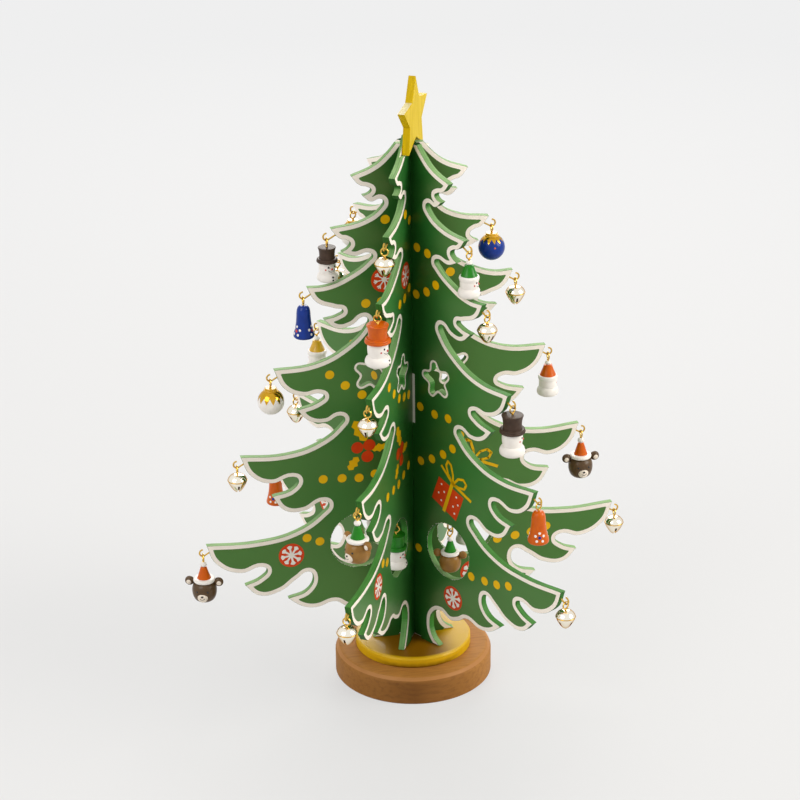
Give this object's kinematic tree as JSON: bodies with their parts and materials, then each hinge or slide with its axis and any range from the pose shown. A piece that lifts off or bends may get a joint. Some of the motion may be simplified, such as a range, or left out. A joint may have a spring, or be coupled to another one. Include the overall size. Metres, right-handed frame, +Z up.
{
  "type": "tabletop christmas tree",
  "caption": "Tabletop Christmas tree of crossed flat wooden boards in a round base, with a star on top and small ornaments that swing from wire hooks.",
  "frame": {"origin": "middle of the round base's flat underside, on the tree's upright axis", "axes": "+Z up along the tree's axis, +X along the wing on the right as seen from the front, the front facing -Y"},
  "size_m": [0.2167, 0.1854, 0.2999],
  "materials": {
    "plinth_brown": "brown stained, satin",
    "disc_yellow": "yellow painted, satin",
    "board_green": "green printed, satin",
    "star_yellow": "yellow stained, open grain",
    "jingle": "bright gilt",
    "top_hat_black": "painted gloss resin",
    "top_hat_orange": "painted gloss resin",
    "top_hat_green": "painted gloss resin",
    "cone_hat_orange": "painted gloss resin",
    "cone_hat_green": "painted gloss resin",
    "cone_hat_gold": "painted gloss resin",
    "bell_blue": "painted gloss resin",
    "bell_orange": "painted gloss resin",
    "ball_white": "painted gloss resin",
    "ball_blue": "painted gloss resin",
    "bear_dark": "painted gloss resin",
    "bear_light": "painted gloss resin"
  },
  "bodies": {
    "tree": {"base_plinth": "plinth_brown", "base_disc": "disc_yellow", "board_left_right": "board_green", "board_front_left": "board_green", "board_front_right": "board_green", "star_topper": "star_yellow"},
    "top_hat_black_left_level_2": {"top_hat_black_left_level_2": "top_hat_black"},
    "bell_blue_left_level_3": {"bell_blue_left_level_3": "bell_blue"},
    "ball_white_left_level_4": {"ball_white_left_level_4": "ball_white"},
    "jingle_left_level_5": {"jingle_left_level_5": "jingle"},
    "bear_dark_left_level_6": {"bear_dark_left_level_6": "bear_dark"},
    "cone_hat_orange_left_window": {"cone_hat_orange_left_window": "cone_hat_orange"},
    "jingle_front_left_level_2": {"jingle_front_left_level_2": "jingle"},
    "top_hat_orange_front_left_level_3": {"top_hat_orange_front_left_level_3": "top_hat_orange"},
    "jingle_front_left_level_4": {"jingle_front_left_level_4": "jingle"},
    "bear_light_front_left_level_5": {"bear_light_front_left_level_5": "bear_light"},
    "jingle_front_left_level_6": {"jingle_front_left_level_6": "jingle"},
    "top_hat_green_front_left_window": {"top_hat_green_front_left_window": "top_hat_green"},
    "cone_hat_green_front_right_level_2": {"cone_hat_green_front_right_level_2": "cone_hat_green"},
    "jingle_front_right_level_3": {"jingle_front_right_level_3": "jingle"},
    "top_hat_black_front_right_level_4": {"top_hat_black_front_right_level_4": "top_hat_black"},
    "bell_orange_front_right_level_5": {"bell_orange_front_right_level_5": "bell_orange"},
    "jingle_front_right_level_6": {"jingle_front_right_level_6": "jingle"},
    "bear_light_front_right_window": {"bear_light_front_right_window": "bear_light"},
    "ball_blue_right_level_2": {"ball_blue_right_level_2": "ball_blue"},
    "jingle_right_level_3": {"jingle_right_level_3": "jingle"},
    "cone_hat_orange_right_level_4": {"cone_hat_orange_right_level_4": "cone_hat_orange"},
    "bear_dark_right_level_5": {"bear_dark_right_level_5": "bear_dark"},
    "jingle_right_level_6": {"jingle_right_level_6": "jingle"},
    "cone_hat_gold_right_window": {"cone_hat_gold_right_window": "cone_hat_gold"},
    "ball_white_back_left_level_2": {"ball_white_back_left_level_2": "ball_white"},
    "jingle_back_left_level_3": {"jingle_back_left_level_3": "jingle"},
    "cone_hat_gold_back_left_level_4": {"cone_hat_gold_back_left_level_4": "cone_hat_gold"},
    "jingle_back_left_level_5": {"jingle_back_left_level_5": "jingle"},
    "bell_orange_back_left_level_6": {"bell_orange_back_left_level_6": "bell_orange"},
    "top_hat_black_back_left_window": {"top_hat_black_back_left_window": "top_hat_black"},
    "cone_hat_orange_back_right_level_2": {"cone_hat_orange_back_right_level_2": "cone_hat_orange"},
    "bell_blue_back_right_level_3": {"bell_blue_back_right_level_3": "bell_blue"},
    "jingle_back_right_level_4": {"jingle_back_right_level_4": "jingle"},
    "ball_blue_back_right_level_5": {"ball_blue_back_right_level_5": "ball_blue"},
    "jingle_back_right_level_6": {"jingle_back_right_level_6": "jingle"},
    "jingle_back_right_window": {"jingle_back_right_window": "jingle"}
  },
  "joints": [
    {"name": "top_hat_black_left_level_2_swing", "type": "hinge", "parent": "tree", "child": "top_hat_black_left_level_2", "pos_m": [-0.0388, 0, 0.22555], "axis": [-1, 0, 0], "range_deg": [-30, 30]},
    {"name": "bell_blue_left_level_3_swing", "type": "hinge", "parent": "tree", "child": "bell_blue_left_level_3", "pos_m": [-0.0504, 0, 0.19815], "axis": [-1, 0, 0], "range_deg": [-30, 30]},
    {"name": "ball_white_left_level_4_swing", "type": "hinge", "parent": "tree", "child": "ball_white_left_level_4", "pos_m": [-0.0668, 0, 0.15895], "axis": [-1, 0, 0], "range_deg": [-30, 30]},
    {"name": "jingle_left_level_5_swing", "type": "hinge", "parent": "tree", "child": "jingle_left_level_5", "pos_m": [-0.0839, 0, 0.11673], "axis": [-1, 0, 0], "range_deg": [-30, 30]},
    {"name": "bear_dark_left_level_6_swing", "type": "hinge", "parent": "tree", "child": "bear_dark_left_level_6", "pos_m": [-0.1017, 0, 0.07276], "axis": [-1, 0, 0], "range_deg": [-30, 30]},
    {"name": "cone_hat_orange_left_window_swing", "type": "hinge", "parent": "tree", "child": "cone_hat_orange_left_window", "pos_m": [-0.0263, 0, 0.08303], "axis": [-1, 0, 0], "range_deg": [-15, 15]},
    {"name": "jingle_front_left_level_2_swing", "type": "hinge", "parent": "tree", "child": "jingle_front_left_level_2", "pos_m": [-0.0194, -0.0336, 0.23045], "axis": [-0.5, -0.866, 0], "range_deg": [-30, 30]},
    {"name": "top_hat_orange_front_left_level_3_swing", "type": "hinge", "parent": "tree", "child": "top_hat_orange_front_left_level_3", "pos_m": [-0.0252, -0.04365, 0.20306], "axis": [-0.5, -0.866, 0], "range_deg": [-30, 30]},
    {"name": "jingle_front_left_level_4_swing", "type": "hinge", "parent": "tree", "child": "jingle_front_left_level_4", "pos_m": [-0.0334, -0.05785, 0.16385], "axis": [-0.5, -0.866, 0], "range_deg": [-30, 30]},
    {"name": "bear_light_front_left_level_5_swing", "type": "hinge", "parent": "tree", "child": "bear_light_front_left_level_5", "pos_m": [-0.04195, -0.07266, 0.12163], "axis": [-0.5, -0.866, 0], "range_deg": [-30, 30]},
    {"name": "jingle_front_left_level_6_swing", "type": "hinge", "parent": "tree", "child": "jingle_front_left_level_6", "pos_m": [-0.05085, -0.08808, 0.07766], "axis": [-0.5, -0.866, 0], "range_deg": [-30, 30]},
    {"name": "top_hat_green_front_left_window_swing", "type": "hinge", "parent": "tree", "child": "top_hat_green_front_left_window", "pos_m": [-0.01315, -0.02278, 0.08793], "axis": [-0.5, -0.866, 0], "range_deg": [-15, 15]},
    {"name": "cone_hat_green_front_right_level_2_swing", "type": "hinge", "parent": "tree", "child": "cone_hat_green_front_right_level_2", "pos_m": [0.0194, -0.0336, 0.22555], "axis": [0.5, -0.866, 0], "range_deg": [-30, 30]},
    {"name": "jingle_front_right_level_3_swing", "type": "hinge", "parent": "tree", "child": "jingle_front_right_level_3", "pos_m": [0.0252, -0.04365, 0.19815], "axis": [0.5, -0.866, 0], "range_deg": [-30, 30]},
    {"name": "top_hat_black_front_right_level_4_swing", "type": "hinge", "parent": "tree", "child": "top_hat_black_front_right_level_4", "pos_m": [0.0334, -0.05785, 0.15895], "axis": [0.5, -0.866, 0], "range_deg": [-30, 30]},
    {"name": "bell_orange_front_right_level_5_swing", "type": "hinge", "parent": "tree", "child": "bell_orange_front_right_level_5", "pos_m": [0.04195, -0.07266, 0.11673], "axis": [0.5, -0.866, 0], "range_deg": [-30, 30]},
    {"name": "jingle_front_right_level_6_swing", "type": "hinge", "parent": "tree", "child": "jingle_front_right_level_6", "pos_m": [0.05085, -0.08808, 0.07276], "axis": [0.5, -0.866, 0], "range_deg": [-30, 30]},
    {"name": "bear_light_front_right_window_swing", "type": "hinge", "parent": "tree", "child": "bear_light_front_right_window", "pos_m": [0.01315, -0.02278, 0.08303], "axis": [0.5, -0.866, 0], "range_deg": [-15, 15]},
    {"name": "ball_blue_right_level_2_swing", "type": "hinge", "parent": "tree", "child": "ball_blue_right_level_2", "pos_m": [0.0388, 0, 0.22555], "axis": [1, 0, 0], "range_deg": [-30, 30]},
    {"name": "jingle_right_level_3_swing", "type": "hinge", "parent": "tree", "child": "jingle_right_level_3", "pos_m": [0.0504, 0, 0.19815], "axis": [1, 0, 0], "range_deg": [-30, 30]},
    {"name": "cone_hat_orange_right_level_4_swing", "type": "hinge", "parent": "tree", "child": "cone_hat_orange_right_level_4", "pos_m": [0.0668, 0, 0.15895], "axis": [1, 0, 0], "range_deg": [-30, 30]},
    {"name": "bear_dark_right_level_5_swing", "type": "hinge", "parent": "tree", "child": "bear_dark_right_level_5", "pos_m": [0.0839, 0, 0.11673], "axis": [1, 0, 0], "range_deg": [-30, 30]},
    {"name": "jingle_right_level_6_swing", "type": "hinge", "parent": "tree", "child": "jingle_right_level_6", "pos_m": [0.1017, 0, 0.07276], "axis": [1, 0, 0], "range_deg": [-30, 30]},
    {"name": "cone_hat_gold_right_window_swing", "type": "hinge", "parent": "tree", "child": "cone_hat_gold_right_window", "pos_m": [0.0263, 0, 0.08303], "axis": [1, 0, 0], "range_deg": [-15, 15]},
    {"name": "ball_white_back_left_level_2_swing", "type": "hinge", "parent": "tree", "child": "ball_white_back_left_level_2", "pos_m": [-0.0194, 0.0336, 0.22555], "axis": [-0.5, 0.866, 0], "range_deg": [-30, 30]},
    {"name": "jingle_back_left_level_3_swing", "type": "hinge", "parent": "tree", "child": "jingle_back_left_level_3", "pos_m": [-0.0252, 0.04365, 0.19815], "axis": [-0.5, 0.866, 0], "range_deg": [-30, 30]},
    {"name": "cone_hat_gold_back_left_level_4_swing", "type": "hinge", "parent": "tree", "child": "cone_hat_gold_back_left_level_4", "pos_m": [-0.0334, 0.05785, 0.15895], "axis": [-0.5, 0.866, 0], "range_deg": [-30, 30]},
    {"name": "jingle_back_left_level_5_swing", "type": "hinge", "parent": "tree", "child": "jingle_back_left_level_5", "pos_m": [-0.04195, 0.07266, 0.11673], "axis": [-0.5, 0.866, 0], "range_deg": [-30, 30]},
    {"name": "bell_orange_back_left_level_6_swing", "type": "hinge", "parent": "tree", "child": "bell_orange_back_left_level_6", "pos_m": [-0.05085, 0.08808, 0.07276], "axis": [-0.5, 0.866, 0], "range_deg": [-30, 30]},
    {"name": "top_hat_black_back_left_window_swing", "type": "hinge", "parent": "tree", "child": "top_hat_black_back_left_window", "pos_m": [-0.01315, 0.02278, 0.08303], "axis": [-0.5, 0.866, 0], "range_deg": [-15, 15]},
    {"name": "cone_hat_orange_back_right_level_2_swing", "type": "hinge", "parent": "tree", "child": "cone_hat_orange_back_right_level_2", "pos_m": [0.0194, 0.0336, 0.23045], "axis": [0.5, 0.866, 0], "range_deg": [-30, 30]},
    {"name": "bell_blue_back_right_level_3_swing", "type": "hinge", "parent": "tree", "child": "bell_blue_back_right_level_3", "pos_m": [0.0252, 0.04365, 0.20306], "axis": [0.5, 0.866, 0], "range_deg": [-30, 30]},
    {"name": "jingle_back_right_level_4_swing", "type": "hinge", "parent": "tree", "child": "jingle_back_right_level_4", "pos_m": [0.0334, 0.05785, 0.16385], "axis": [0.5, 0.866, 0], "range_deg": [-30, 30]},
    {"name": "ball_blue_back_right_level_5_swing", "type": "hinge", "parent": "tree", "child": "ball_blue_back_right_level_5", "pos_m": [0.04195, 0.07266, 0.12163], "axis": [0.5, 0.866, 0], "range_deg": [-30, 30]},
    {"name": "jingle_back_right_level_6_swing", "type": "hinge", "parent": "tree", "child": "jingle_back_right_level_6", "pos_m": [0.05085, 0.08808, 0.07766], "axis": [0.5, 0.866, 0], "range_deg": [-30, 30]},
    {"name": "jingle_back_right_window_swing", "type": "hinge", "parent": "tree", "child": "jingle_back_right_window", "pos_m": [0.01315, 0.02278, 0.08793], "axis": [0.5, 0.866, 0], "range_deg": [-15, 15]}
  ]
}
